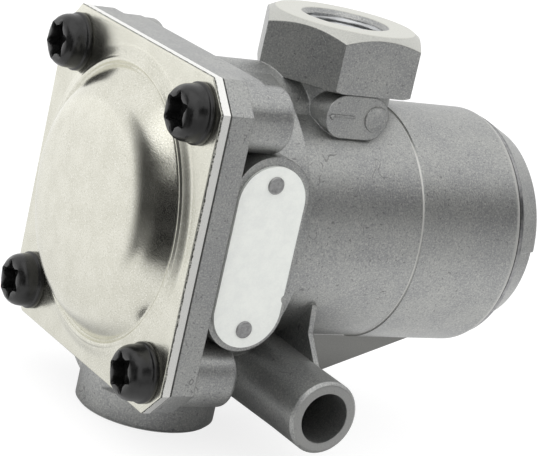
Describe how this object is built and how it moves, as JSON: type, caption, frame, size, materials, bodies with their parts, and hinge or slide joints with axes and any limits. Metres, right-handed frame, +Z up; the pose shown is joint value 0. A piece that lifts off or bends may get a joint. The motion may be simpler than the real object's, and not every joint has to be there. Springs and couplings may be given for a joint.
{
  "type": "pressure limiting valve",
  "caption": "Compressed-air pressure limiting valve: cast body with a domed square cover, threaded inlet and outlet ports, a vent spigot and a screwed adjusting cap.",
  "frame": {"origin": "centre of the outlet port's mouth, in the plane of its bottom face", "axes": "+X along the main axis from the domed cover to the adjusting cap, +Z up through the inlet port, -Y out of the vent spigot and the name plate's side"},
  "size_m": [0.1216, 0.0934, 0.1059],
  "materials": {
    "cast_aluminium": "die-cast, as cast, fine grain",
    "zinc_plated_steel": "pressed steel, bright zinc plate",
    "gasket_fibre": "dark fibre gasket",
    "black_steel": "black coated steel, semi-gloss",
    "plate_aluminium": "pale anodised sheet",
    "rivet_aluminium": "dull aluminium",
    "brass_turned": "turned",
    "black_plastic": "moulded",
    "turned_aluminium": "turned",
    "black_rubber": "moulded rubber",
    "spring_steel": "oiled spring wire",
    "ground_steel": "ground and polished",
    "white_plastic": "turned fluoroplastic"
  },
  "bodies": {
    "root": {"housing": "cast_aluminium", "cover": "zinc_plated_steel", "cover_gasket": "gasket_fibre", "cover_screws": "black_steel", "name_plate": "plate_aluminium", "name_plate_rivets": "rivet_aluminium", "valve_seat_ring": "brass_turned", "valve_cage": "black_plastic", "guide_insert": "turned_aluminium", "guide_insert_seal": "black_rubber", "rod_seal": "black_rubber", "feed_nozzle": "brass_turned", "guide_snap_ring": "spring_steel"},
    "valve": {"valve_carrier": "brass_turned", "valve_carrier_seal": "black_rubber", "valve_disc": "black_rubber", "valve_spring": "spring_steel"},
    "piston": {"piston": "turned_aluminium", "piston_rod": "ground_steel", "piston_seal": "black_rubber", "piston_guide_ring": "white_plastic", "main_spring": "spring_steel"},
    "spring_seat": {"spring_seat": "zinc_plated_steel"},
    "cap": {"adjusting_cap": "cast_aluminium", "cap_seal": "black_rubber"}
  },
  "joints": [
    {"name": "piston_slide", "type": "slide", "parent": "root", "child": "piston", "axis": [1, 0, 0], "range_m": [0, 0.0035], "stiffness_N_per_m": 3000, "springref_m": -0.005, "deforming": ["main_spring"]},
    {"name": "valve_slide", "type": "slide", "parent": "root", "child": "valve", "axis": [1, 0, 0], "range_m": [0, 0.002], "deforming": ["valve_spring"]},
    {"name": "cap_travel", "type": "slide", "parent": "root", "child": "spring_seat", "axis": [1, 0, 0], "range_m": [-0.0008, 0.0016], "deforming": ["main_spring"]},
    {"name": "cap_turn", "type": "hinge", "parent": "spring_seat", "child": "cap", "pos_m": [0.0858, 0, 0.054], "axis": [1, 0, 0], "range_deg": [-180, 360]}
  ],
  "couplings": [
    {"joint": "valve_slide", "follows": "piston_slide", "ratio": 0.571},
    {"joint": "cap_travel", "follows": "cap_turn", "m_per_rad": 0.00023873}
  ]
}
